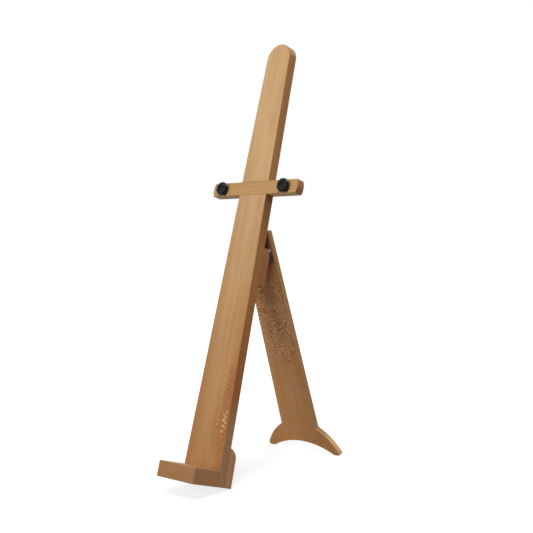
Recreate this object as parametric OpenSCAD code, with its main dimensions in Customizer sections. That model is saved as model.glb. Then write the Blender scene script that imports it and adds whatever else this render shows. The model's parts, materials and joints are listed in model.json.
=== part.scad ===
// Wooden display easel: a tapered mast that leans back on a hinged rear leg.
// Pieces of the mast are drawn in the mast's own frame and tilted into place.
// In that frame X runs across, Y from the front face to the back, Z up the mast.

/* [Mast] */
// Length of the mast board along its face
mast_len = 800; // [760:1:900]
// Thickness of the mast board
mast_t = 20; // [18:0.5:24]
// Width of the mast at its foot
mast_base_w = 87; // [82:1:96]
// Radius of the round top
mast_top_r = 27; // [24:0.5:32]
// Width of the flat that takes the sharp edge off each board
ease = 0.9; // [0.4:0.1:1.2]

/* [Crossbar] */
// Length of the crossbar over its bowed ends
bar_len = 204; // [190:1:240]
// Height of the crossbar
bar_h = 25; // [22:0.5:28]
// Thickness of the crossbar
bar_t = 18.5; // [17.5:0.5:20]
// How far each end of the crossbar bows out
bar_bow = 3; // [1.5:0.5:5]
// Height of the crossbar's lower edge, up the mast
bar_rise = 510.5; // [480:0.5:600]
// Depth of the notch in the mast that houses the crossbar
lap_depth = 10; // [8:0.5:11]

/* [Knobs] */
// Distance of each knob's axis from its end of the crossbar
knob_inset = 28; // [20:1:34]
// Diameter over the lobes
knob_d = 25; // [22:0.5:28]
// Height of the moulded knob
knob_h = 10.5; // [10:0.5:13]
// Number of lobes
knob_lobes = 8; // [6:1:10]
// Depth of the flutes between the lobes
knob_flute = 1.4; // [0.8:0.1:2]
// Diameter of the hollow in the middle of the knob's face
knob_dimple_d = 8; // [6:0.5:10]
// Diameter of the knob's threaded stud
stud_d = 5.9; // [4.9:0.1:6.9]
// Length of the stud below the washer
stud_len = 12; // [10:0.5:13]
// Length of the stud inside the knob
stud_root = 6.5; // [5:0.5:7]
// Outer diameter of the washer
washer_d = 15; // [13:0.5:18]
// Thickness of the washer
washer_t = 1; // [0.6:0.1:1.5]
// Outer diameter of the threaded insert
insert_d = 9; // [8.5:0.1:10]
// Length of the threaded insert
insert_len = 13; // [13:0.5:14]

/* [Ledge] */
// How far the ledge reaches out in front of the mast
ledge_d = 58; // [48:1:70]
// Height of the ledge
ledge_h = 27; // [23:1:32]

/* [Blocks] */
// Thickness of the two blocks behind the mast
block_t = 16; // [15:0.5:18]
// Height of the two blocks
block_h = 67; // [62:1:72]
// Radius that rounds the heel block's upper rear edge
heel_round = 22; // [20:0.5:24]
// Height of the hinge block's top, up the mast
hinge_block_top = 417; // [400:1:430]
// Height of the sloped seat that the hinge leaf lies on
seat_h = 22.5; // [20:0.5:24]
// Slope of that seat away from the mast
seat_angle = 10; // [8:0.5:11]

/* [Hinge] */
// Length of the hinge
hinge_len = 65; // [58:1:68]
// Height of each leaf, from the pin to its free edge
leaf_h = 22; // [19:0.5:23]
// Thickness of each leaf
leaf_t = 1.5; // [1.2:0.1:1.6]
// Diameter of the rolled knuckles
knuckle_d = 7; // [6:0.2:7.4]
// Number of knuckles on both leaves together
knuckles = 5; // [3:2:7]
// Diameter of the hinge pin
pin_d = 3; // [2:0.2:3.6]
// Distance of the pin below the hinge block's top
pin_drop = 1; // [0.5:0.1:2]

/* [Leg] */
// Thickness of the leg board
leg_t = 10; // [9.5:0.5:13]
// Width of the leg at its top
leg_top_w = 70; // [69:1:78]
// Width of the leg between the foot's wings
leg_foot_w = 86; // [80:1:92]
// Length from the hinge pin to the sole
leg_reach = 400.5; // [370:0.5:405]
// Angle between the mast and the opened leg
open_angle = 33.9; // [30:0.1:38]

/* [Foot] */
// Width of the foot over its two tips
foot_span = 173; // [165:1:190]
// Height of each wing where it leaves the leg
wing_root_h = 50; // [46:1:56]
// Height of each tip
wing_tip_h = 5; // [4:0.5:8]
// Radius of the curve along the top of each wing
wing_top_r = 109; // [100:1:130]
// Height of the arch under the foot
arch_h = 18; // [14:0.5:20]
// Width of the arch between the soles
arch_w = 144; // [136:1:148]
// Diameter of the dowels that hold the wings
dowel_d = 5; // [4:0.5:6]
// Length of those dowels
dowel_len = 22; // [18:1:24]

/* [Screws] */
// Shank diameter of the screws through the boards
board_screw_d = 4.5; // [3.5:0.1:5]
// Head diameter of the screws through the boards
board_screw_head = 8.5; // [7.5:0.1:9]
// Length of the screws that hold the blocks
block_screw_len = 30; // [26:1:32]
// Length of the screws that hold the ledge
ledge_screw_len = 50; // [40:1:55]
// Length of the screws that hold the crossbar
bar_screw_len = 16; // [14.5:0.5:17]
// Shank diameter of the hinge screws
hinge_screw_d = 3.4; // [3:0.1:3.6]
// Head diameter of the hinge screws
hinge_screw_head = 6.2; // [5.8:0.1:6.4]
// Length of the screws in the hinge block
block_leaf_screw_len = 13; // [10:0.5:14]
// Length of the screws in the leg
leg_leaf_screw_len = 8.5; // [8:0.1:9]

/* [Clearances] */
// Radial play of the pin and the studs where they turn
turn_play = 0.05; // [0.02:0.01:0.09]
// Gap around glued dowels, inserts and screws
glue_gap = 0.05; // [0.02:0.01:0.08]
// Gap between knuckles, and from a knuckle to the wood
knuckle_gap = 0.3; // [0.3:0.05:0.5]
// Gap left between pieces that stop against each other
stop_gap = 0.3; // [0.2:0.05:0.5]

/* [Hidden] */
$fn = 64;

HONEY = [0.80, 0.63, 0.42];
RED_BROWN = [0.62, 0.42, 0.28];
PALE_DOWEL = [0.86, 0.74, 0.55];
BLACK = [0.06, 0.06, 0.07];
STEEL = [0.62, 0.63, 0.65];
DARK_STEEL = [0.30, 0.31, 0.33];
BRASS = [0.80, 0.65, 0.32];

// Amount by which cutters run past the faces that they cut
over = 2;

// The mast's sides are the lines from its base corners that touch the round top
top_y = mast_len - mast_top_r;
base_x = mast_base_w / 2;
taper = acos(mast_top_r / norm([base_x, top_y])) - atan2(top_y, base_x);
function mast_half_w(y) = base_x - y * tan(taper);

// The hinge: its pin lies off the hinge block's seat, and the leg's face as far off the pin
seat_r = knuckle_d / 2 + knuckle_gap;
block_back = mast_t + block_t;
seat_depth = seat_h * tan(seat_angle);
pin_y = block_back - seat_depth + seat_r * cos(seat_angle) + pin_drop * sin(seat_angle);
pin_z = hinge_block_top + seat_r * sin(seat_angle) - pin_drop * cos(seat_angle);

// The leg's top edge stops against the back of the mast
leg_face_y = pin_y + seat_r * cos(open_angle);
leg_face_z = pin_z + seat_r * sin(open_angle);
leg_head = (leg_face_y - mast_t - stop_gap) / sin(open_angle);
function leg_half_w(y) =
    (leg_foot_w + (leg_top_w - leg_foot_w) * (y + leg_reach) / (leg_head + leg_reach)) / 2;

// The easel stands on the heel block's rear edge and on the soles, which set its lean
heel_y = block_back - ease;
sole_y = leg_face_y + leg_reach * sin(open_angle);
sole_z = leg_face_z - leg_reach * cos(open_angle);
lean = atan2(sole_z, sole_y - heel_y);
rear_y = mast_t * cos(lean) + (mast_len - ease) * sin(lean);
front_y = -ledge_d * cos(lean) + ease * sin(lean);
ground_drop = heel_y * sin(lean);

// The crossbar's ends are arcs over its height
bar_mid = bar_rise + bar_h / 2;
bar_end_r = (pow(bar_h / 2, 2) + pow(bar_bow, 2)) / (2 * bar_bow);

// The knob's face is a shallow dome and its hollow is part of a ball
knob_dome_r = knob_d * 1.6;
dimple_r = knob_dimple_d * 0.61;

// The foot, measured up from the sole
arch_r = (pow(arch_w / 2, 2) + pow(arch_h, 2)) / (2 * arch_h);
arch_centre = [0, -leg_reach + arch_h - arch_r];
wing_root = [leg_half_w(wing_root_h - leg_reach), wing_root_h - leg_reach];
wing_tip = [foot_span / 2, wing_tip_h - leg_reach];
wing_chord = wing_tip - wing_root;
wing_sag = sqrt(pow(wing_top_r, 2) - pow(norm(wing_chord) / 2, 2));
wing_centre = (wing_root + wing_tip) / 2
    + wing_sag * [wing_chord.y, -wing_chord.x] / norm(wing_chord);
wing_angle = function (p) atan2(p.y - wing_centre.y, p.x - wing_centre.x);
sole_w = (foot_span - arch_w) / 2;
tip_cut = min(2.5, wing_tip_h / 2, sole_w / 3);

// Screw places: across the mast and up it
bar_screw_x = 15;
ledge_screw_x = 26;
block_screw_x = 22;
heel_screw_z = block_h - heel_round - 8;
hinge_screw_z = hinge_block_top - block_h + 17;
leaf_screw_rows = [for (x = [-1, 0, 1]) [x * hinge_len * 0.37, leaf_h * (x == 0 ? 0.74 : 0.5)]];

// Puts the mast's frame on the ground, leaning back, with the origin under the middle
module on_mast() {
    translate([0, -(rear_y + front_y) / 2, ground_drop])
        rotate([-lean, 0, 0])
            children();
}

// Frame at the hinge pin whose Y points out of a leaf's seat, turned to the given slope
module at_pin(slope) {
    on_mast()
        translate([0, pin_y, pin_z])
            rotate([slope, 0, 0])
                children();
}

// Frame of the leg: Y = 0 is its front face, Z runs up it from beside the pin
module on_leg() {
    at_pin(open_angle)
        translate([0, seat_r, 0])
            children();
}

// Stands a board drawn flat upright: its length becomes Z and its thickness Y
module upright() {
    mirror([0, 1, 0])
        rotate([90, 0, 0])
            children();
}

// Cutter for the eased edge from p to q; the board lies left of that line
module ease_line(p, q, z, side) {
    d = q - p;
    translate([p.x, p.y, z])
        rotate([0, 0, atan2(d.y, d.x)])
            rotate([90 - 45 * side, 0, 0])
                translate([-over, -over * 2, -ease / sqrt(2)])
                    cube([norm(d) + over * 2, over * 4, over * 2]);
}

// Both long edges of the line from p to q on a board of thickness t
module ease_both(p, q, t) {
    ease_line(p, q, 0, -1);
    ease_line(p, q, t, 1);
}

// Cutter for the eased rims of an arc, outer like the mast's top or inner like the arch
module ease_arc(centre, r, a0, a1, t, outer) {
    reach = ease + over;
    corner = outer
        ? [[r - reach, over], [r + over, -reach], [r + over, over]]
        : [[r + reach, over], [r - over, over], [r - over, -reach]];
    for (face = [0, 1])
        translate([centre.x, centre.y, face * t])
            mirror([0, 0, 1 - face])
                rotate([0, 0, a0])
                    rotate_extrude(angle = a1 - a0, $fn = 128)
                        polygon(corner);
}

// Board of thickness t drawn flat, its edges eased from the outer outline to the inner one
module eased_board(outer, inner, t) {
    hull() {
        translate([0, 0, ease]) linear_extrude(t - 2 * ease) polygon(outer);
        linear_extrude(t) polygon(inner);
    }
}

// Box with all twelve edges eased
module eased_box(size) {
    module bevelled(w, h) {
        polygon([
            [ease, 0], [w - ease, 0], [w, ease], [w, h - ease],
            [w - ease, h], [ease, h], [0, h - ease], [0, ease]
        ]);
    }
    intersection() {
        linear_extrude(size.z) bevelled(size.x, size.y);
        translate([0, size.y, 0]) rotate([90, 0, 0]) linear_extrude(size.y) bevelled(size.x, size.z);
        rotate([90, 0, 90]) linear_extrude(size.x) bevelled(size.y, size.z);
    }
}

// Countersunk screw: its head is flush with Z = 0 and its point lies below
module screw(d, head_d, len) {
    head_h = (head_d - d) / 2;
    point_h = d * 1.2;
    slot_w = head_d * 0.13;
    difference() {
        union() {
            translate([0, 0, -head_h]) cylinder(d1 = d, d2 = head_d, h = head_h);
            translate([0, 0, point_h - len]) cylinder(d = d, h = len - point_h - head_h);
            translate([0, 0, -len]) cylinder(d1 = d * 0.15, d2 = d, h = point_h);
        }
        for (turn = [0, 90])
            rotate([0, 0, turn])
                translate([-head_d * 0.27, -slot_w / 2, -head_h * 0.7])
                    cube([head_d * 0.54, slot_w, head_h]);
    }
}

// Hole that such a screw fills
module screw_hole(d, head_d, len) {
    head_h = (head_d - d) / 2;
    hole_d = d + 2 * glue_gap;
    translate([0, 0, -head_h]) cylinder(d1 = hole_d, d2 = head_d + 2 * glue_gap, h = head_h);
    translate([0, 0, -len - glue_gap]) cylinder(d = hole_d, h = len + glue_gap - head_h / 2);
    cylinder(d = head_d + 2 * glue_gap, h = over);
}

// Turns a screw's axis so that its head faces the back of the mast
module facing_back(x, y, z) {
    translate([x, y, z])
        rotate([-90, 0, 0])
            children();
}

module bar_screws() {
    for (side = [-1, 1])
        facing_back(side * bar_screw_x, mast_t, bar_mid) children();
}

module ledge_screw_places() {
    for (side = [-1, 1])
        facing_back(side * ledge_screw_x, mast_t, ledge_h / 2) children();
}

module block_screw_places(z) {
    for (side = [-1, 1])
        facing_back(side * block_screw_x, block_back, z) children();
}

// Screws of one leaf, in the leaf's own frame at the pin; out is the side the wood is on
module leaf_screw_places() {
    for (row = leaf_screw_rows)
        translate([row.x, seat_r - leaf_t, -row.y])
            rotate([90, 0, 0])
                children();
}

module board_hole(len) { screw_hole(board_screw_d, board_screw_head, len); }
module board_screw(len) { screw(board_screw_d, board_screw_head, len); }
module leaf_hole(len) { screw_hole(hinge_screw_d, hinge_screw_head, len); }
module leaf_screw(len) { screw(hinge_screw_d, hinge_screw_head, len); }

// Corners of the mast's outline, moved in by the given amount
function mast_points(inset) = let (corner_x = mast_half_w(inset) - inset / cos(taper)) [
    [-corner_x, inset],
    [corner_x, inset],
    for (i = [0:48])
        let (turn = taper + i * (180 - 2 * taper) / 48)
            [0, top_y] + (mast_top_r - inset) * [cos(turn), sin(turn)]
];

module mast() {
    color(HONEY)
        on_mast() difference() {
            upright() eased_board(mast_points(0), mast_points(ease), mast_t);
            translate([-base_x, -over, bar_rise])
                cube([mast_base_w, lap_depth + over, bar_h]);
            bar_screws() board_hole(bar_screw_len);
            ledge_screw_places() board_hole(ledge_screw_len);
            block_screw_places(heel_screw_z) board_hole(block_screw_len);
            block_screw_places(hinge_screw_z) board_hole(block_screw_len);
        }
}

// Corners of the crossbar's outline about its middle, moved in by the given amount
function bar_points(inset) = let (r = bar_end_r - inset, sweep = asin((bar_h / 2 - inset) / r)) [
    for (side = [1, -1], i = [-12:12])
        side * [bar_len / 2 - bar_end_r + r * cos(i * sweep / 12), r * sin(i * sweep / 12)]
];

module crossbar() {
    color(HONEY)
        on_mast() difference() {
            translate([0, 0, bar_mid])
                upright() eased_board(bar_points(0), bar_points(ease), bar_t);
            translate([0, lap_depth, 0]) upright() linear_extrude(bar_t) polygon(mast_points(0));
            bar_screws() board_hole(bar_screw_len);
            for (side = [-1, 1])
                knob_axis(side) insert_hole();
        }
}

module crossbar_screws() {
    color(STEEL) on_mast() bar_screws() board_screw(bar_screw_len);
}

module ledge() {
    color(HONEY)
        on_mast() difference() {
            translate([-base_x, -ledge_d, 0]) eased_box([mast_base_w, ledge_d, ledge_h]);
            ledge_screw_places() board_hole(ledge_screw_len);
        }
}

module ledge_screws() {
    color(STEEL) on_mast() ledge_screw_places() board_screw(ledge_screw_len);
}

// Block behind the mast from height z up, its sides in line with the mast's
module block(z) {
    foot = [mast_half_w(z), z];
    head = [mast_half_w(z + block_h), z + block_h];
    outline = [[-foot.x, foot.y], foot, head, [-head.x, head.y]];
    translate([0, mast_t, 0]) upright() difference() {
        linear_extrude(block_t) polygon(outline);
        for (i = [0:3])
            ease_line(outline[i], outline[(i + 1) % 4], block_t, 1);
    }
}

module heel_block() {
    color(RED_BROWN)
        on_mast() difference() {
            block(0);
            difference() {
                translate([-base_x - over, block_back - heel_round, block_h - heel_round])
                    cube([mast_base_w + 2 * over, heel_round + over, heel_round + over]);
                translate([0, block_back - heel_round, block_h - heel_round])
                    rotate([0, 90, 0])
                        cylinder(r = heel_round, h = mast_base_w + 6 * over, center = true, $fn = 96);
            }
            block_screw_places(heel_screw_z) board_hole(block_screw_len);
        }
}

module heel_block_screws() {
    color(STEEL) on_mast() block_screw_places(heel_screw_z) board_screw(block_screw_len);
}

module hinge_block() {
    color(RED_BROWN)
        difference() {
            on_mast() difference() {
                block(hinge_block_top - block_h);
                block_screw_places(hinge_screw_z) board_hole(block_screw_len);
            }
            at_pin(seat_angle) mirror([0, 1, 0]) {
                translate([-base_x, seat_r - 2 * seat_h, -2 * seat_h])
                    cube([mast_base_w, 2 * seat_h, 4 * seat_h]);
                leaf_screw_places() leaf_hole(block_leaf_screw_len);
            }
        }
}

module hinge_block_screws() {
    color(STEEL) on_mast() block_screw_places(hinge_screw_z) board_screw(block_screw_len);
}

// One leaf with its share of the knuckles; first is 0 for the outer ones and 1 for the inner
module hinge_leaf(first, play) {
    pitch = (hinge_len + knuckle_gap) / knuckles;
    width = pitch - knuckle_gap;
    left = -hinge_len / 2;
    difference() {
        union() {
            translate([left, seat_r - leaf_t, -leaf_h])
                cube([hinge_len, leaf_t, leaf_h - knuckle_d / 2 - knuckle_gap]);
            for (i = [first:2:knuckles - 1])
                translate([left + i * pitch, 0, 0]) {
                    rotate([0, 90, 0]) cylinder(d = knuckle_d, h = width);
                    translate([0, seat_r - leaf_t, -knuckle_d]) cube([width, leaf_t, knuckle_d]);
                }
        }
        rotate([0, 90, 0]) cylinder(d = pin_d + 2 * play, h = hinge_len + over, center = true);
        leaf_screw_places() leaf_hole(leaf_h);
    }
}

module mast_hinge_leaf() {
    color(DARK_STEEL) at_pin(seat_angle) mirror([0, 1, 0]) hinge_leaf(0, glue_gap);
}

module mast_leaf_screws() {
    color(STEEL)
        at_pin(seat_angle) mirror([0, 1, 0]) leaf_screw_places() leaf_screw(block_leaf_screw_len);
}

module hinge_pin() {
    color(STEEL)
        at_pin(0) rotate([0, 90, 0]) cylinder(d = pin_d, h = hinge_len, center = true);
}

module leg_hinge_leaf() {
    color(DARK_STEEL) at_pin(open_angle) hinge_leaf(1, turn_play);
}

module leg_leaf_screws() {
    color(STEEL) at_pin(open_angle) leaf_screw_places() leaf_screw(leg_leaf_screw_len);
}

// Dowels that run from the leg into its wings, at two heights on each side
module dowel_places() {
    for (side = [-1, 1], share = [0.46, 0.76])
        translate([side * leg_half_w(share * wing_root_h - leg_reach), leg_t / 2,
                share * wing_root_h - leg_reach])
            rotate([0, 90, 0])
                children();
}

module dowel_holes() {
    dowel_places() cylinder(d = dowel_d + 2 * glue_gap, h = dowel_len + 2 * glue_gap, center = true);
}

module arch_cut() {
    translate([arch_centre.x, arch_centre.y, -over])
        cylinder(r = arch_r, h = leg_t + 2 * over, $fn = 256);
    ease_arc(arch_centre, arch_r, 55, 125, leg_t, false);
}

// The leg board, drawn flat
module leg_blank() {
    sole = [leg_foot_w / 2, -leg_reach];
    head = [leg_top_w / 2, leg_head];
    left_head = [-head.x, head.y];
    difference() {
        linear_extrude(leg_t) polygon([[-sole.x, sole.y], sole, head, left_head]);
        ease_both(wing_root, head, leg_t);
        ease_both(left_head, [-wing_root.x, wing_root.y], leg_t);
        ease_line(head, left_head, leg_t, 1);
        arch_cut();
    }
}

module leg() {
    color(HONEY)
        difference() {
            on_leg() upright() leg_blank();
            on_leg() dowel_holes();
            at_pin(open_angle) leaf_screw_places() leaf_hole(leg_leaf_screw_len);
        }
}

// The right-hand wing, drawn flat
module wing_blank() {
    edge = [for (y = [0, wing_root_h]) [leg_half_w(y - leg_reach), y - leg_reach]];
    tip_x = foot_span / 2;
    difference() {
        intersection() {
            linear_extrude(leg_t) polygon([
                edge[0], [tip_x - tip_cut, -leg_reach], [tip_x, tip_cut - leg_reach],
                [tip_x, wing_root.y + over], [wing_root.x, wing_root.y + over], edge[1]
            ]);
            translate([wing_centre.x, wing_centre.y, 0]) cylinder(r = wing_top_r, h = leg_t, $fn = 192);
        }
        ease_arc(wing_centre, wing_top_r, wing_angle(wing_tip) - 3, wing_angle(wing_root) + 3, leg_t, true);
        arch_cut();
    }
}

module foot_wing(side) {
    color(HONEY)
        on_leg() difference() {
            mirror([side < 0 ? 1 : 0, 0, 0]) upright() wing_blank();
            dowel_holes();
        }
}

module foot_dowels() {
    color(PALE_DOWEL) on_leg() dowel_places() cylinder(d = dowel_d, h = dowel_len, center = true);
}

// Axis of one knob: Z points out of the crossbar's front face
module knob_axis(side) {
    translate([side * (bar_len / 2 - knob_inset), 0, bar_mid])
        rotate([90, 0, 0])
            children();
}

module insert_hole() {
    translate([0, 0, -insert_len - glue_gap])
        cylinder(d = insert_d + 2 * glue_gap, h = insert_len + glue_gap + over);
}

module knob_inserts() {
    color(BRASS)
        on_mast()
            for (side = [-1, 1])
                knob_axis(side) difference() {
                    translate([0, 0, -insert_len]) cylinder(d = insert_d, h = insert_len);
                    translate([0, 0, -insert_len - over])
                        cylinder(d = stud_d + 2 * turn_play, h = insert_len + 2 * over);
                }
}

module knob_washer(side) {
    color(STEEL)
        on_mast() knob_axis(side) difference() {
            cylinder(d = washer_d, h = washer_t);
            translate([0, 0, -over]) cylinder(d = stud_d + 2 * turn_play, h = washer_t + 2 * over);
        }
}

module knob_stud(side) {
    point_h = stud_d * 0.15;
    color(STEEL)
        on_mast() knob_axis(side) {
            translate([0, 0, point_h - stud_len])
                cylinder(d = stud_d, h = stud_len + stud_root + washer_t - point_h);
            translate([0, 0, -stud_len]) cylinder(d1 = stud_d - 2 * point_h, d2 = stud_d, h = point_h);
        }
}

// Side view of the knob from its axis outwards: a hub, a wide grip and a domed face
module knob_profile() {
    r = knob_d / 2;
    intersection() {
        translate([0, knob_h - knob_dome_r]) circle(r = knob_dome_r, $fn = 128);
        polygon([
            [0, 0], [r * 0.7, 0], [r, knob_h * 0.28], [r, knob_h * 0.66], [r * 0.84, knob_h], [0, knob_h]
        ]);
    }
}

module knob(side) {
    r = knob_d / 2;
    flute_r = r * sin(180 / knob_lobes) * 0.72;
    color(BLACK)
        on_mast() knob_axis(side) translate([0, 0, washer_t]) difference() {
            rotate_extrude($fn = 96)
                intersection() {
                    knob_profile();
                    square([r, knob_h]);
                }
            for (i = [0:knob_lobes - 1])
                rotate([0, 0, (i + 0.5) * 360 / knob_lobes])
                    translate([r + flute_r - knob_flute, 0, -over])
                        cylinder(r = flute_r, h = knob_h + 2 * over, $fn = 32);
            translate([0, 0, knob_h + dimple_r * 0.57]) sphere(r = dimple_r, $fn = 48);
            translate([0, 0, -over]) cylinder(d = stud_d + 2 * glue_gap, h = stud_root + over + glue_gap);
        }
}

mast();
crossbar();
crossbar_screws();
ledge();
ledge_screws();
heel_block();
heel_block_screws();
hinge_block();
hinge_block_screws();
mast_hinge_leaf();
mast_leaf_screws();
hinge_pin();
leg_hinge_leaf();
leg_leaf_screws();
leg();
foot_wing(-1);  // left_foot_wing
foot_wing(1);  // right_foot_wing
foot_dowels();
knob(-1);  // left_knob
knob_stud(-1);  // left_knob_stud
knob_washer(-1);  // left_knob_washer
knob(1);  // right_knob
knob_stud(1);  // right_knob_stud
knob_washer(1);  // right_knob_washer
knob_inserts();
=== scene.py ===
# Wooden display easel: materials, knobs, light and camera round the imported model.
import json
import math

import bpy
from mathutils import Matrix, Vector

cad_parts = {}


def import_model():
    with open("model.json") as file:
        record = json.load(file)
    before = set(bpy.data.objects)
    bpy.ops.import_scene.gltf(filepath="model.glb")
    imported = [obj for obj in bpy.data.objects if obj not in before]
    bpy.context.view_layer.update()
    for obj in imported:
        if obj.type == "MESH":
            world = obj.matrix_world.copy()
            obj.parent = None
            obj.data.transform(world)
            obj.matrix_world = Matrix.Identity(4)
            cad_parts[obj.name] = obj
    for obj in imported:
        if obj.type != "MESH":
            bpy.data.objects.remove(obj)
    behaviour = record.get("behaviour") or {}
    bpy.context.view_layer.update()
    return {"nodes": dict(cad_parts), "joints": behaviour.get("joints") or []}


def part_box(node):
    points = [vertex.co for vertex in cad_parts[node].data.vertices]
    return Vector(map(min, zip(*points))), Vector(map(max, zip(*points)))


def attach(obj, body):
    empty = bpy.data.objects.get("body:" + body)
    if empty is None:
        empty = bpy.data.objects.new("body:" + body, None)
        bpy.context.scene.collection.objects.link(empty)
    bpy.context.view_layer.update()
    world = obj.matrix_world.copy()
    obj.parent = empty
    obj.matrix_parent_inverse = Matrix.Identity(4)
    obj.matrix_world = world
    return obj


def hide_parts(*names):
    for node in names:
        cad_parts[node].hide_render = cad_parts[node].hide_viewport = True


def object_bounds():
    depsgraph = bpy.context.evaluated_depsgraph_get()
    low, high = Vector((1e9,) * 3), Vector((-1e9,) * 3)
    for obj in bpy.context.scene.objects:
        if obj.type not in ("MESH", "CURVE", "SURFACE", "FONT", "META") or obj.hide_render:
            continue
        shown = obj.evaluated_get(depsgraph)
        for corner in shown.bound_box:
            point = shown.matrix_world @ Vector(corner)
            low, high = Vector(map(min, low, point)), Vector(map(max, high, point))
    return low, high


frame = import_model()
NODES = frame["nodes"]
JOINTS = {joint["name"]: joint for joint in frame["joints"]}


# ---------------------------------------------------------------- frames of the boards

MAST_HALF_LENGTH = 0.40  # metres, as every length here
MAST_HALF_DEPTH = 0.01


def middle(node):
    """The centre of a CAD node's box."""
    low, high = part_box(node)
    return (low + high) / 2


def reach(node, origin, axis):
    """Nearest and farthest point of a CAD node along an axis."""
    along = [(v.co - origin).dot(axis) for v in NODES[node].data.vertices]
    return min(along), max(along)


OUT = Vector(JOINTS["left_knob_turn"]["axis"]).normalized()  # out of the mast's front face
LEAN = math.atan2(OUT.z, -OUT.y)  # of the mast, from upright
UP = Vector((0, math.sin(LEAN), math.cos(LEAN)))  # along the mast
OPEN = math.radians(JOINTS["leg_fold"]["range_deg"][1])  # between the mast and the leg

# The frame of a board: the place of its origin and its turn
MAST_START = middle("mast") - UP * MAST_HALF_LENGTH + OUT * MAST_HALF_DEPTH
MAST = (MAST_START, (-LEAN, 0, 0))
LEG = (Vector(JOINTS["leg_fold"]["pos_m"]), (OPEN - LEAN, 0, 0))


# ---------------------------------------------------------------- node helpers

def feed(socket, value):
    """Link a socket to an output, or set its value."""
    if isinstance(value, bpy.types.NodeSocket):
        socket.id_data.links.new(value, socket)
    else:
        socket.default_value = value


class Graph:
    """The node tree of a material or world, built by calls that return output sockets."""

    def __init__(self, owner):
        owner.use_nodes = True
        self.owner = owner
        self.tree = owner.node_tree
        self.tree.nodes.clear()

    def node(self, kind, props=None, **inputs):
        """A new node. Inputs go by name, with _ for a space, or as i0, i1 and so on."""
        made = self.tree.nodes.new(kind)
        for key, value in (props or {}).items():
            setattr(made, key, value)
        for key, value in inputs.items():
            counted = key[0] == "i" and key[1:].isdigit()
            feed(made.inputs[int(key[1:]) if counted else key.replace("_", " ")], value)
        return made

    def math(self, op, a, b=0.0, c=0.0):
        return self.node("ShaderNodeMath", {"operation": op}, i0=a, i1=b, i2=c).outputs[0]

    def vmath(self, op, a, b=(0, 0, 0), output="Vector"):
        return self.node("ShaderNodeVectorMath", {"operation": op}, i0=a, i1=b).outputs[output]

    def add(self, a, b):
        return self.math("ADD", a, b)

    def times(self, first, *others):
        """The product of its arguments."""
        for other in others:
            first = self.math("MULTIPLY", first, other)
        return first

    def blend(self, a, factor, b):
        """a * factor + b"""
        return self.math("MULTIPLY_ADD", a, factor, b)

    def inverse(self, share):
        """What a share leaves of the whole."""
        return self.math("SUBTRACT", 1.0, share)

    def offset(self, a, b):
        """How far a lies from b, either way."""
        return self.math("ABSOLUTE", self.math("SUBTRACT", a, b))

    def split(self, vector):
        return self.node("ShaderNodeSeparateXYZ", Vector=vector).outputs

    def join(self, x, y, z):
        return self.node("ShaderNodeCombineXYZ", X=x, Y=y, Z=z).outputs[0]

    def span(self, value, low, high, to_low=0.0, to_high=1.0, smooth=True):
        """A value's way from low to high, eased at both ends or straight."""
        kind = "SMOOTHSTEP" if smooth else "LINEAR"
        made = self.node("ShaderNodeMapRange", {"interpolation_type": kind, "clamp": True})
        for socket, given in zip(made.inputs, (value, low, high, to_low, to_high)):
            feed(socket, given)
        return made.outputs[0]

    def noise(self, place, scale, detail=2.0, rough=0.5, output="Fac"):
        """Noise with scale features in a metre along each axis."""
        made = self.node("ShaderNodeTexNoise", {"noise_dimensions": "3D"}, Scale=1.0, Detail=detail,
                         Vector=self.vmath("MULTIPLY", place, scale), Roughness=rough)
        return made.outputs[output]

    def mix(self, factor, a, b, mode="MIX"):
        props = {"data_type": "RGBA", "blend_type": mode, "clamp_factor": True}
        made = self.node("ShaderNodeMix", props, i0=factor)
        for socket, color in ((made.inputs[6], a), (made.inputs[7], b)):
            feed(socket, color if isinstance(color, bpy.types.NodeSocket) else (*color, 1.0))
        return made.outputs[2]

    def bump(self, height, strength, distance, **under):
        """A normal bent by a height, over one given as Normal."""
        made = self.node("ShaderNodeBump", Height=height, Strength=strength, Distance=distance, **under)
        return made.outputs["Normal"]

    def edges(self, radius):
        """1 along the object's outer edges: where a rounded normal leaves the true one."""
        rounded = self.node("ShaderNodeBevel", {"samples": 4}, Radius=radius).outputs[0]
        true = self.node("ShaderNodeNewGeometry").outputs["Normal"]
        return self.span(self.inverse(self.vmath("DOT_PRODUCT", rounded, true, "Value")), 0.02, 0.22)

    def finish(self, **sockets):
        """The material, with its shader's sockets linked or set."""
        shader = self.node("ShaderNodeBsdfPrincipled", **sockets)
        self.node("ShaderNodeOutputMaterial", Surface=shader.outputs[0])
        return self.owner


# ---------------------------------------------------------------- wood

HONEY = dict(light=(0.588, 0.392, 0.206), mid=(0.512, 0.314, 0.147), dark=(0.377, 0.188, 0.071))
AMBER = dict(light=(0.530, 0.330, 0.150), mid=(0.460, 0.262, 0.105), dark=(0.330, 0.150, 0.050))
WARM = dict(light=(0.668, 0.348, 0.137), mid=(0.578, 0.265, 0.093), dark=(0.419, 0.156, 0.045))
RUSSET = dict(light=(0.755, 0.358, 0.162), mid=(0.633, 0.270, 0.118), dark=(0.433, 0.160, 0.061))
OAKEN = dict(light=(0.365, 0.186, 0.074), mid=(0.312, 0.145, 0.053), dark=(0.215, 0.084, 0.027))
BRICK = dict(light=(0.505, 0.200, 0.082), mid=(0.418, 0.148, 0.058), dark=(0.288, 0.088, 0.030))

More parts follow.
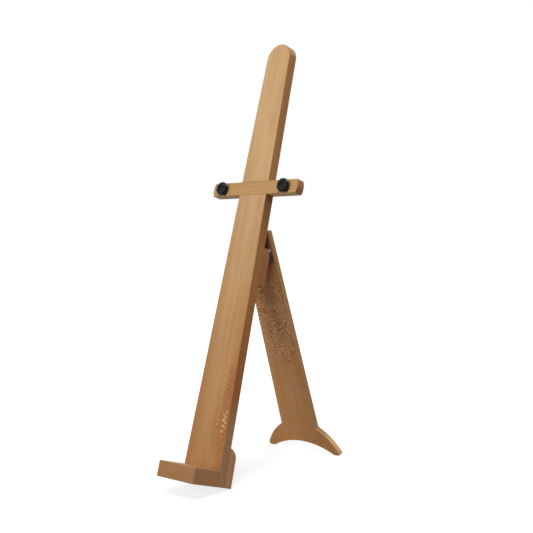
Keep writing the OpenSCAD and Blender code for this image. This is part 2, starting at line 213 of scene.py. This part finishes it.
GOLD = (0.640, 0.440, 0.225)  # pale patches
EMBER = (0.540, 0.240, 0.072)  # warm patches
CHESTNUT = (0.465, 0.200, 0.066)  # rims of a board
FIGURE_GROUND = (0.470, 0.158, 0.048)
FIGURE_RED = (0.420, 0.110, 0.034)
FIGURE_PALE = (0.860, 0.580, 0.300)
FLECK_GROUND = (0.350, 0.148, 0.046)
FLECK_RED = (0.290, 0.072, 0.014)
RAY_PALE = (0.720, 0.520, 0.250)
END_RING = (0.130, 0.050, 0.020)
END_PORE = (0.150, 0.065, 0.027)
END_OILED = (0.200, 0.090, 0.040)
# pale edge colour: worn finish and a painted highlight along the edges
RUBBED_AND_LIT = (0.680, 0.470, 0.260)

WANDER = (0.010, 0.010, 0.0)  # how far the fibres wander off the board's length
FOOT_FADE = (0.085, 0.160)  # where a foot's tint gives way to that of the sides
RIM_FADE = (0.62, 0.12)  # where the rims grow warm, from the board's head to its foot
RIPPLE_LINES = 1060.0  # radians of the figure's pale lines in a metre
RIPPLE_SWAY = 50.0  # radians that noise pushes them to and fro
RAY_SWAY = 0.007  # how far a row of ray flecks wanders
RAY_REACH = 0.0052  # half the width of a row


class Wood(Graph):
    """Solid wood in a board's own frame, laid on step by step.

    across, deep, length: the coordinates in that frame, and grain the three as a vector.
    still: grain moved by the board's seed. place: still, bent by the fibres' wander.
    broadside, narrow, end: 1 on the broad faces, the sides and the ends. fronted: less on the back."""

    def __init__(self, name, board, tones, seed, along, end_slope):
        super().__init__(bpy.data.materials.new(name))
        self.tones = tones
        axes = (0, 1, 2) if along == "z" else (2, 1, 0)
        local = self.split(self.placed("Object", *board))
        self.across, self.deep, self.length = (local[axis] for axis in axes)
        self.grain = self.join(self.across, self.deep, self.length)
        self.still = self.vmath("ADD", self.grain, (seed * 1.37, seed * 0.71, seed * 2.11))

        faces = self.split(self.placed("Normal", (0, 0, 0), board[1]))
        self.broadside = self.span(self.math("ABSOLUTE", faces[1]), 0.55, 0.90)
        self.narrow = self.inverse(self.broadside)
        self.end = self.span(self.math("ABSOLUTE", faces[axes[2]]), *end_slope)
        self.fronted = self.span(faces[1], 0.30, 0.90, 1.0, 0.4)  # less on a board's back

        drift = self.noise(self.still, (9, 9, 1.6), output="Color")
        self.wander = self.vmath("MULTIPLY", self.vmath("SUBTRACT", drift, (0.5, 0.5, 0.5)), WANDER)
        self.place = self.vmath("ADD", self.still, self.wander)

    def placed(self, output, origin, turn):
        """A texture coordinate in the frame with this origin and turn."""
        source = self.node("ShaderNodeTexCoord").outputs[output]
        made = self.node("ShaderNodeMapping", {"vector_type": "TEXTURE"}, Vector=source,
                         Location=tuple(origin), Rotation=turn)
        return made.outputs[0]

    def stain(self, tone, *shares, mode="MIX"):
        """Lay a tone over the colour so far, as strongly as the product of the shares."""
        self.color = self.mix(self.times(*shares), self.color, tone, mode)

    def grow(self, rings, pith):
        """Growth rings about a pith that lies outside the board."""
        cut = self.split(self.vmath("ADD", self.grain, self.wander))
        x = self.math("SUBTRACT", cut[0], pith[0])
        y = self.math("SUBTRACT", cut[1], pith[1])
        radius = self.math("SQRT", self.add(self.times(x, x), self.times(y, y)))
        uneven = self.noise(self.join(radius, 0.0, 0.0), (28, 1, 1), detail=3.0)
        ring = self.math("FRACT", self.add(self.times(radius, rings), self.times(uneven, 5.0)))
        late = self.times(self.span(ring, 0.25, 0.86), self.span(ring, 1.0, 0.88))
        faint = self.span(self.noise(self.place, (60, 60, 2.2)), 0.34, 0.66, 0.15, 0.9)
        self.late = self.times(late, faint)

    def lay_fibres(self, streak):
        """Streaks and fibres drawn out along the grain, over broad patches."""
        streaks = self.noise(self.place, (230, 230, 3.4), detail=6.0, rough=0.66)
        self.fibre = self.noise(self.place, (950, 950, 26), detail=3.0, rough=0.6)
        self.broad = self.noise(self.place, (34, 34, 1.6), detail=3.0, rough=0.55)
        warm = self.noise(self.place, (15, 15, 4.0), detail=3.0, rough=0.6)
        pale = self.noise(self.still, (22, 22, 7.0), detail=4.0, rough=0.6)

        tone = self.times(self.span(streaks, 0.28, 0.74), 0.40 * streak)
        tone = self.blend(self.span(self.fibre, 0.28, 0.74), 0.24, tone)
        tone = self.blend(self.late, 0.17, tone)
        tone = self.blend(self.span(self.broad, 0.30, 0.72), 0.14 * streak, tone)
        medium = self.span(tone, 0.05, 0.60, smooth=False)
        self.color = self.mix(medium, self.tones["light"], self.tones["mid"])
        self.stain(self.tones["dark"], self.span(tone, 0.55, 1.15, smooth=False))
        self.stain(EMBER, self.span(warm, 0.50, 0.80), 0.36)
        self.stain(GOLD, self.span(pale, 0.48, 0.72), 0.42)

    def warm_rims(self, half, amount):
        """The two long rims of a board are warmer than its middle, most of all near its foot."""
        rim = self.add(self.math("ABSOLUTE", self.across), self.blend(self.broad, 0.020, -0.010))
        low = self.span(self.length, *RIM_FADE, 0.15, amount)
        self.stain(CHESTNUT, self.span(rim, half * 0.40, half * 1.05), low)

    def shift_tone(self, start, stop, tint, amount):
        """A slow change of tone from one end of the board to the other. On the leg it is painted shade,
        darkest at its head where the mast shades it by the hinge.
        """
        share = self.times(self.blend(self.broadside, 0.65, 0.35), self.times(self.fronted, amount))
        self.stain(tint, self.span(self.length, start, stop), share, mode="MULTIPLY")

    def tone_and_light_sides(self, tint, foot_tint):
        """Tint of the narrow sides: the rings' tone seen edge on, together with painted light and shade
        on those faces. Near a foot they can have a tint of their own.
        """
        if foot_tint:
            tint = self.mix(self.span(self.length, *FOOT_FADE), foot_tint, tint)
        self.stain(tint, self.narrow, mode="MULTIPLY")

    def paint_shadow_below(self, top, fall, tint):
        """Painted shadow on the narrow sides below a part that juts out, darkest at top and gone at a
        distance of fall below it.
        """
        near = self.times(self.span(self.length, top - fall, top, smooth=False),
                          self.span(self.length, top + 0.012, top))
        self.stain(tint, self.math("POWER", near, 1.6), self.narrow, mode="MULTIPLY")

    def open_pores(self):
        """Pores: short dark dashes."""
        self.pores = self.span(self.noise(self.place, (1500, 1500, 95), detail=1.0), 0.66, 0.78)
        self.stain(self.tones["dark"], self.pores, 0.34)
        self.height = self.blend(self.fibre, 0.5, self.times(self.late, 0.35))

    def region(self, across, along, half_width, half_length, ragged, core):
        """1 inside a ragged oval on the board's broad faces, full out to core of its radius squared."""
        wide = self.math("DIVIDE", self.offset(self.across, across), half_width)
        long = self.math("DIVIDE", self.offset(self.length, along), half_length)
        far = self.add(self.times(wide, wide), self.times(long, long))
        ragged = self.blend(self.noise(self.still, (45, 45, 22), detail=3.0), ragged, -ragged / 2)
        return self.times(self.span(self.add(far, ragged), 1.15, core), self.broadside)

    def ripple(self, across, along, half_width, half_length, strength):
        """Rippled figure: pale lines that wander over redder ground, as in a fingerprint."""
        mask = self.region(across, along, half_width, half_length, ragged=1.2, core=0.55)
        mask = self.times(mask, self.fronted)
        swirl = self.noise(self.still, (64, 64, 34), detail=1.0, rough=0.35)
        lines = self.math("SINE", self.blend(swirl, RIPPLE_SWAY, self.times(self.length, RIPPLE_LINES)))
        broken = self.span(self.noise(self.still, (260, 260, 200)), 0.30, 0.56)
        pale = self.times(self.span(lines, -0.35, 0.75), broken, mask)
        red = self.span(self.noise(self.still, (55, 55, 40)), 0.50, 0.66)
        self.stain(FIGURE_GROUND, mask, 0.48 * strength)
        self.stain(FIGURE_RED, red, mask, 0.75 * strength)
        self.stain(FIGURE_PALE, pale, 0.84 * strength)
        self.height = self.blend(pale, 0.5, self.height)

    def fleck(self, across, along, half_width, half_length, strength):
        """Small red flecks in a darker patch."""
        here = self.region(across, along, half_width, half_length, ragged=0.9, core=0.15)
        red = self.span(self.noise(self.still, (500, 500, 230)), 0.51, 0.57)
        self.stain(FLECK_GROUND, here, 0.50 * strength)
        self.stain(FLECK_RED, red, here, 0.85 * strength)

    def ray_row(self, across, start, stop, pitch, strength):
        """A wandering row of pale rounded ray flecks, about one for each pitch."""
        sway = self.noise(self.still, (1, 1, 60), detail=1.0)
        near = self.offset(self.across, self.blend(sway, RAY_SWAY, across - RAY_SWAY / 2))
        ragged = self.blend(self.noise(self.still, (360, 360, 300), detail=3.0), 1.10, -0.55)
        slip = self.times(self.noise(self.still, (1, 1, 55)), 9.0)
        beat = self.math("SINE", self.blend(self.length, 2 * math.pi / pitch, slip))
        blot = self.blend(self.span(near, RAY_REACH, 0.0), self.span(beat, -0.90, 1.0), ragged)
        ends = self.times(self.span(self.length, start, start + 0.010),
                          self.span(self.length, stop, stop - 0.015))
        row = self.times(self.span(blot, 0.37, 0.60), ends)
        self.stain(RAY_PALE, row, self.broadside, strength)

    def cut_ends(self, tint, ring_share):
        """End grain is darker and open-pored."""
        self.speck = self.span(self.noise(self.place, (1300, 1300, 40)), 0.42, 0.62)
        bands = self.span(self.noise(self.place, (420, 420, 6), detail=4.0, rough=0.6), 0.32, 0.66)
        tone = self.mix(bands, self.tones["mid"], self.tones["dark"])
        tone = self.mix(self.times(self.late, ring_share), tone, END_RING)
        tone = self.mix(self.times(self.speck, 0.5), tone, END_PORE)
        tone = self.mix(0.45, tone, END_OILED)
        self.stain(self.vmath("MULTIPLY", tone, tint), self.end, 0.90)

    def rub_and_light_edges(self):
        """Handled edges: paler where the finish has worn. The same paleness is a painted highlight
        along the edges.
        """
        worn = self.span(self.noise(self.place, (60, 60, 30), detail=4.0, rough=0.65), 0.38, 0.60)
        # worn finish and painted edge highlight
        self.rubbed_and_lit = self.times(self.edges(0.0012), worn)
        self.stain(RUBBED_AND_LIT, self.rubbed_and_lit, 0.36)

    def seal(self):
        """The material, with its sheen and relief."""
        rough = self.blend(self.fibre, 0.16, 0.40)
        rough = self.blend(self.end, 0.28, rough)
        rough = self.blend(self.rubbed_and_lit, 0.12, rough)
        height = self.math("SUBTRACT", self.height, self.times(self.pores, 0.6))
        height = self.math("SUBTRACT", height, self.times(self.speck, self.end, 0.8))
        bent = self.bump(height, strength=0.32, distance=0.00022)
        waves = self.noise(self.place, (22, 22, 5))
        bent = self.bump(waves, strength=0.10, distance=0.0012, Normal=bent)
        return self.finish(Base_Color=self.color, Roughness=rough, Normal=bent, Specular_IOR_Level=0.15)


def wood(name, board, tones, seed, along="z", rings=170.0, pith=(0.16, -0.30), streak=1.0,
         rims=None, tone_shift=None, side_tone_and_light=None, foot_tint=None, shade=None,
         ripples=(), flecks=(), rays=(),
         end_tint=(1.0, 1.0, 1.0), end_slope=(0.60, 0.93), end_rings=0.8):
    """One board's wood, in the frame board, with its grain along that frame's z or x.

    seed: moves the board's noise. rings: growth rings in a metre, about a pith at (across, deep).
    streak: strength of the streaks. The side tint and foot_tint: of the narrow sides, their edge-on
    tone with painted light and shade, foot_tint near a foot.
    end_tint, end_rings: of the end grain. end_slope: how far a face turns to the end to show it.
    rims, the tone shift from end to end and shade (the painted shadow below a part): what warm_rims and
    their own methods take.
    ripples, flecks, rays: what ripple, fleck and ray_row take, for each patch or row."""
    g = Wood(name, board, tones, seed, along, end_slope)
    g.grow(rings, pith)
    g.lay_fibres(streak)
    if rims:
        g.warm_rims(**rims)
    if tone_shift:
        g.shift_tone(**tone_shift)
    if side_tone_and_light:
        g.tone_and_light_sides(side_tone_and_light, foot_tint)
    if shade:
        g.paint_shadow_below(**shade)
    g.open_pores()
    for patch in ripples:
        g.ripple(**patch)
    for patch in flecks:
        g.fleck(**patch)
    for row in rays:
        g.ray_row(**row)
    g.cut_ends(end_tint, end_rings)
    g.rub_and_light_edges()
    return g.seal()


# ---------------------------------------------------------------- plastic and metal

INK = (0.0030, 0.0033, 0.0042)
SOOT = (0.0068, 0.0072, 0.0086)
SCUFF = (0.040, 0.040, 0.043)
# pale spots on metal: worn metal and painted glints
BARE_METAL_AND_GLINT = (0.620, 0.620, 0.590)


def moulded_black(name):
    """Black plastic with a fine grain, scuffed along its edges."""
    g = Graph(bpy.data.materials.new(name))
    place = g.node("ShaderNodeTexCoord").outputs["Object"]
    grit = g.noise(place, (2600, 2600, 2600), detail=3.0, rough=0.6)
    haze = g.noise(place, (150, 150, 150), detail=4.0, rough=0.6)
    color = g.mix(g.span(haze, 0.35, 0.70), INK, SOOT)
    scuffed = g.times(g.edges(0.0007), g.span(haze, 0.42, 0.60))
    color = g.mix(g.times(scuffed, 0.55), color, SCUFF)
    return g.finish(Base_Color=color, Roughness=g.blend(haze, 0.18, 0.30),
                    Normal=g.bump(grit, strength=0.07, distance=0.00008), Specular_IOR_Level=0.14)


def metal(name, tone, stain, rough, mottling):
    """Brushed metal of one tone, mottled with a stain and worn bright along edges, with pale spots that
    are both worn metal and painted glints.
    """
    g = Graph(bpy.data.materials.new(name))
    place = g.node("ShaderNodeTexCoord").outputs["Object"]
    brushed = g.noise(place, (40, 2400, 2400), detail=3.0, rough=0.65)
    cloud = g.noise(place, (260, 260, 260), detail=5.0, rough=0.65)
    bare_and_glint = g.span(g.noise(place, (430, 430, 430), detail=3.0, rough=0.7), 0.60, 0.68)
    bright = tuple(min(1.0, channel * 1.5 + 0.08) for channel in tone)
    color = g.mix(g.times(g.span(cloud, 0.38, 0.68), mottling), tone, stain)
    color = g.mix(g.times(g.edges(0.0005), 0.5), color, bright)
    # pale spots: worn metal and painted glints
    color = g.mix(g.times(bare_and_glint, mottling * 0.8), color, BARE_METAL_AND_GLINT)
    uneven = g.blend(brushed, 0.5, g.times(cloud, 0.5))
    normal = g.bump(brushed, strength=0.18, distance=0.00008)
    normal = g.bump(cloud, strength=0.10, distance=0.00025, Normal=normal)
    return g.finish(Base_Color=color, Roughness=g.span(uneven, 0.3, 0.7, *rough),
                    Normal=normal, Metallic=1.0)


# ---------------------------------------------------------------- dress the CAD nodes

MAST_LENGTH = reach("mast", MAST_START, UP)[1]
CROSSBAR_LOW = reach("crossbar", MAST_START, UP)[0]


def wear(material, *nodes):
    """Give CAD nodes this material in place of their own."""
    for node in nodes:
        NODES[node].data.materials.clear()
        NODES[node].data.materials.append(material)


def dress_mast():
    board = wood(
        "mast_wood", MAST, HONEY, seed=1.0, rings=150.0, pith=(0.115, -0.34), streak=1.3,
        rims=dict(half=0.040, amount=0.66),
        tone_shift=dict(start=MAST_LENGTH * 0.80, stop=0.02, tint=(0.76, 0.62, 0.48), amount=1.0),
        # the mast's narrow sides: redder edge grain and painted shade, paler near the foot
        side_tone_and_light=(0.95, 0.735, 0.565), foot_tint=(1.14, 1.26, 1.55),
        # painted shadow of the crossbar on the mast's sides, darkest just under it
        shade=dict(top=CROSSBAR_LOW, fall=0.110, tint=(0.40, 0.31, 0.24)),
        ripples=[dict(across=0.025, along=0.094, half_width=0.012, half_length=0.040, strength=0.30)],
        flecks=[dict(across=0.031, along=0.130, half_width=0.014, half_length=0.088, strength=1.0),
                dict(across=0.022, along=0.088, half_width=0.012, half_length=0.045, strength=0.6)],
        rays=[dict(across=0.0310, start=0.078, stop=0.130, pitch=0.0105, strength=0.55),
              dict(across=0.0355, start=0.090, stop=0.136, pitch=0.0093, strength=0.50)],
        end_tint=(1.35, 1.35, 1.35), end_slope=(0.15, 0.80))
    wear(board, "mast")


def dress_crossbar_and_ledge():
    bar = wood(
        "crossbar_wood", MAST, AMBER, seed=4.0, along="x", rings=210.0, pith=(0.40, -0.22),
        tone_shift=dict(start=-0.2, stop=0.2, tint=(0.92, 0.86, 0.80), amount=0.7),
        end_tint=(1.90, 1.75, 1.95))
    shelf = wood(
        "ledge_wood", MAST, OAKEN, seed=7.0, along="x", rings=190.0, pith=(-0.12, 0.16),
        # the ledge's narrow faces are lighter: painted light on its top face
        side_tone_and_light=(1.35, 1.45, 1.60), end_tint=(2.62, 2.82, 3.40), end_rings=0.35)
    wear(bar, "crossbar")
    wear(shelf, "ledge")


def dress_blocks():
    heel = wood("heel_wood", MAST, RUSSET, seed=9.0, rings=230.0, pith=(-0.20, 0.18))
    hinged = wood("hinge_block_wood", MAST, BRICK, seed=12.0, rings=230.0, pith=(0.18, 0.22))
    wear(heel, "heel_block")
    wear(hinged, "hinge_block")


def dress_leg():
    board = wood(
        "leg_wood", LEG, WARM, seed=15.0, rings=165.0, pith=(-0.10, 0.30),
        # tone shift on the leg: painted shade, darker towards its head, where the mast shades the leg
        # near the hinge
        tone_shift=dict(start=-0.085, stop=0.020, tint=(0.60, 0.50, 0.46), amount=1.0),
        ripples=[dict(across=0.000, along=-0.142, half_width=0.056, half_length=0.102, strength=1.0)],
        flecks=[dict(across=0.040, along=-0.085, half_width=0.012, half_length=0.040, strength=0.6),
                dict(across=0.010, along=-0.150, half_width=0.012, half_length=0.035, strength=0.4)])
    wear(board, "leg")
    for side, sign in (("left", -1), ("right", 1)):
        # each wing's narrow faces are lighter: painted light on their top edges
        wing = wood(side + "_wing_wood", LEG, WARM, seed=18.0 + sign, rings=165.0,
                    pith=(0.14 * sign, 0.26), side_tone_and_light=(1.26, 1.60, 2.15))
        wear(wing, side + "_foot_wing")
    wear(wood("dowel_wood", LEG, HONEY, seed=23.0, along="x", rings=400.0), "foot_dowels")


def dress_metal():
    blued = metal("hinge_steel", tone=(0.120, 0.122, 0.118), stain=(0.270, 0.265, 0.235),
                  rough=(0.30, 0.56), mottling=0.9)
    zinc = metal("screw_steel", tone=(0.520, 0.530, 0.545), stain=(0.360, 0.350, 0.330),
                 rough=(0.24, 0.46), mottling=0.6)
    plated = metal("stud_steel", tone=(0.560, 0.560, 0.570), stain=(0.420, 0.405, 0.370),
                   rough=(0.22, 0.42), mottling=0.5)
    brass = metal("insert_brass", tone=(0.640, 0.450, 0.170), stain=(0.420, 0.270, 0.100),
                  rough=(0.28, 0.50), mottling=0.6)
    wear(blued, "mast_hinge_leaf", "leg_hinge_leaf")
    wear(zinc, "crossbar_screws", "ledge_screws", "heel_block_screws", "hinge_block_screws",
         "mast_leaf_screws", "leg_leaf_screws", "hinge_pin")
    wear(plated, "left_knob_stud", "right_knob_stud", "left_knob_washer", "right_knob_washer")
    wear(brass, "knob_inserts")


dress_mast()
dress_crossbar_and_ledge()
dress_blocks()
dress_leg()
dress_metal()


# ---------------------------------------------------------------- knobs

LOBES = 8
STEPS = LOBES * 20  # corners round the knob
SMOOTHING = 2  # corners along the section for each of its points
FLUTE_DEPTH = 0.070  # share of the radius
FLUTE_HALF_WIDTH = 0.230  # radians
FLUTE_FOOT = (0.10, 0.22)  # shares of the height: where the flutes begin, and their way to full depth
FLUTE_FACE = (0.52, 0.36)  # the same in shares of the radius, from the middle of the face outwards

# Points are (share of the radius, share of the height)
UNDERSIDE = (0.30, 0.0)  # the flat foot of the hub, out to the section's first point
KNOB_SECTION = [  # hub, belt, domed face and hollow
    (0.640, 0.000), (0.695, 0.008), (0.725, 0.040), (0.835, 0.125), (0.960, 0.215), (0.997, 0.360),
    (1.000, 0.470), (1.000, 0.580), (0.975, 0.745), (0.895, 0.862), (0.742, 0.942), (0.540, 0.982),
    (0.408, 0.993), (0.356, 0.958), (0.328, 0.850), (0.270, 0.742), (0.120, 0.702), (0.045, 0.700),
]


def smooth(t):
    """A share from 0 to 1, eased at both ends."""
    t = max(0.0, min(1.0, t))
    return t * t * (3 - 2 * t)


def between(p, q, r, s, t):
    """A share t of the way from q to r on the smooth curve that comes from p and goes on to s."""
    square = (2 * p - 5 * q + 4 * r - s) * t ** 2
    cube = (3 * q - p - 3 * r + s) * t ** 3
    return q + ((r - p) * t + square + cube) / 2


def flowing(points, parts):
    """Points of a smooth curve through the given ones, with so many parts between each two."""
    ends = [points[0], *points, points[-1]]
    curve = []
    for run in zip(ends, ends[1:], ends[2:], ends[3:]):
        for step in range(parts):
            curve.append(tuple(between(*levels, step / parts) for levels in zip(*run)))
    return curve + [points[-1]]


def flute(turn, rho, z):
    """How deep a flute cuts, as a share of the radius, at one corner of the profile."""
    lobes_on = turn * LOBES / (2 * math.pi)
    off = abs((lobes_on + 0.5) % 1.0 - 0.5) * 2 * math.pi / LOBES  # radians to the nearest flute
    grip = smooth((z - FLUTE_FOOT[0]) / FLUTE_FOOT[1]) * smooth((rho - FLUTE_FACE[0]) / FLUTE_FACE[1])
    return FLUTE_DEPTH * smooth(1.0 - off / FLUTE_HALF_WIDTH) * grip


def turned_mesh(name, base, low, high, radius):
    """The knob's profile turned about the stud's axis, with a flute between each two lobes."""
    profile = [UNDERSIDE] + flowing(KNOB_SECTION, SMOOTHING)
    verts, faces = [], []
    for rho, z in profile:
        for i in range(STEPS):
            turn = 2 * math.pi * i / STEPS
            r = (rho - flute(turn, rho, z)) * radius
            rim = Vector((r * math.cos(turn), 0, 0)) + UP * (r * math.sin(turn))
            verts.append(base + OUT * (low + z * (high - low)) + rim)
    rows = len(profile)
    for k in range(rows - 1):
        for i in range(STEPS):
            j = (i + 1) % STEPS
            a, b = k * STEPS, (k + 1) * STEPS
            faces.append((a + i, a + j, b + j, b + i))
    faces.append(tuple(reversed(range(STEPS))))
    faces.append(tuple((rows - 1) * STEPS + i for i in range(STEPS)))
    mesh = bpy.data.meshes.new(name)
    mesh.from_pydata([tuple(v) for v in verts], [], faces)
    mesh.update()
    for polygon in mesh.polygons:
        polygon.use_smooth = True
    return mesh


def knob(side, material):
    """Moulded knob with rounded lobes, a hub below and a hollow in its domed face."""
    node = side + "_knob"
    base = Vector(JOINTS[side + "_knob_turn"]["pos_m"])
    low, high = reach(node, base, OUT)
    left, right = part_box(node)
    name = side + "_knob_moulding"
    mesh = turned_mesh(name, base, low, high, (right.x - left.x) / 2)
    mesh.materials.append(material)
    made = bpy.data.objects.new(name, mesh)
    bpy.context.scene.collection.objects.link(made)
    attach(made, side + "_knob_and_stud")
    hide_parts(node)


black = moulded_black("knob_plastic")
for side in ("left", "right"):
    knob(side, black)


# ---------------------------------------------------------------- floor, world, light

FLOOR_HALF = 6.0
FLOOR_GAP = 0.0004  # between the floor and the lowest point
FLOOR_GREY = (0.34, 0.34, 0.34, 1.0)
FLOOR_MIRRORED = 0.60  # how white reflections see the floor
FLOOR_FADE = (0.35, 1.0)  # from the middle of the object, over which the glow grows
FLOOR_GLOW = (0.80, 1.0)  # its strength before and after that
WHITE = (1, 1, 1, 1)
WORLD_LIGHT = 0.10  # what the white surroundings give as light

low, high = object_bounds()
centre = (low + high) / 2


def floor_material():
    """White to the camera, grey to the lamps, so that it keeps a soft shadow near the object."""
    g = Graph(bpy.data.materials.new("studio_floor"))
    ray = g.node("ShaderNodeLightPath").outputs
    shown = g.math("MAXIMUM", ray["Is Camera Ray"], ray["Is Transmission Ray"])
    shown = g.math("MAXIMUM", shown, g.times(ray["Is Glossy Ray"], FLOOR_MIRRORED))
    distance = g.vmath("LENGTH", g.node("ShaderNodeTexCoord").outputs["Object"], output="Value")
    lift = g.times(shown, g.span(distance, *FLOOR_FADE, *FLOOR_GLOW))
    soft = g.node("ShaderNodeBsdfDiffuse", Color=FLOOR_GREY).outputs[0]
    glow = g.node("ShaderNodeEmission", Color=WHITE, Strength=lift).outputs[0]
    both = g.node("ShaderNodeAddShader", i0=soft, i1=glow).outputs[0]
    g.node("ShaderNodeOutputMaterial", Surface=both)
    return g.owner


def floor():
    """A square floor just under the object, which stays out of its measures."""
    s = FLOOR_HALF
    mesh = bpy.data.meshes.new("studio_floor")
    mesh.from_pydata([(-s, -s, 0), (s, -s, 0), (s, s, 0), (-s, s, 0)], [], [(0, 1, 2, 3)])
    mesh.materials.append(floor_material())
    made = bpy.data.objects.new("studio_floor", mesh)
    made.location = (centre.x, centre.y, low.z - FLOOR_GAP)
    bpy.context.scene.collection.objects.link(made)


def world():
    """White to the camera and to reflections, dim as a light."""
    bpy.context.scene.world = bpy.data.worlds.new("studio")
    g = Graph(bpy.context.scene.world)
    ray = g.node("ShaderNodeLightPath").outputs
    shown = g.math("MAXIMUM", ray["Is Camera Ray"], ray["Is Transmission Ray"])
    shown = g.math("MAXIMUM", shown, ray["Is Glossy Ray"])
    dim = g.node("ShaderNodeBackground", Color=WHITE, Strength=WORLD_LIGHT).outputs[0]
    white = g.node("ShaderNodeBackground", Color=WHITE, Strength=1.0).outputs[0]
    mixed = g.node("ShaderNodeMixShader", i0=shown, i1=dim, i2=white).outputs[0]
    g.node("ShaderNodeOutputWorld", Surface=mixed)


def softbox(name, azimuth, elevation, distance, size, watts):
    """A square lamp that looks at the object's centre. Azimuth 0 is its front, 90 its right."""
    a, e = math.radians(azimuth), math.radians(elevation)
    back = Vector((math.sin(a) * math.cos(e), -math.cos(a) * math.cos(e), math.sin(e)))
    lamp = bpy.data.lights.new(name, "AREA")
    lamp.shape = "SQUARE"
    lamp.size = size
    lamp.energy = watts
    made = bpy.data.objects.new(name, lamp)
    made.location = centre + back * distance
    made.rotation_euler = (-back).to_track_quat("-Z", "Y").to_euler()
    bpy.context.scene.collection.objects.link(made)


floor()
world()
softbox("front", azimuth=-14, elevation=16, distance=3.2, size=1.6, watts=41)
softbox("upper_right", azimuth=34, elevation=58, distance=3.4, size=1.3, watts=80)
softbox("back_fill", azimuth=186, elevation=36, distance=3.0, size=1.8, watts=46)


# ---------------------------------------------------------------- camera

YAW, PITCH, ROLL = (math.radians(degrees) for degrees in (42.42, -5.06, -3.77))
LENS = 64.95  # mm, as the sensor's width
SENSOR = 36.0
NEAREST, FARTHEST = 0.05, 50.0  # what the camera sees begins and ends there
FROM_PIN = Vector((1.1728, -1.2595, 0.1227))  # from the middle of the hinge's pin


def camera():
    """The photo's own view, from its fitted place, turn and lens."""
    ahead = Vector((-math.sin(YAW) * math.cos(PITCH), math.cos(YAW) * math.cos(PITCH), math.sin(PITCH)))
    across = Vector((math.cos(YAW), math.sin(YAW), 0))
    above = across.cross(ahead)
    right = across * math.cos(ROLL) + above * math.sin(ROLL)
    up = above * math.cos(ROLL) - across * math.sin(ROLL)
    data = bpy.data.cameras.new("camera")
    data.lens = LENS
    data.sensor_width = SENSOR
    data.clip_start = NEAREST
    data.clip_end = FARTHEST
    made = bpy.data.objects.new("camera", data)
    turn = Matrix((right, up, -ahead)).transposed().to_4x4()
    made.matrix_world = Matrix.Translation(middle("hinge_pin") + FROM_PIN) @ turn
    bpy.context.scene.collection.objects.link(made)
    bpy.context.scene.camera = made


camera()
bpy.context.scene.view_settings.view_transform = "Standard"
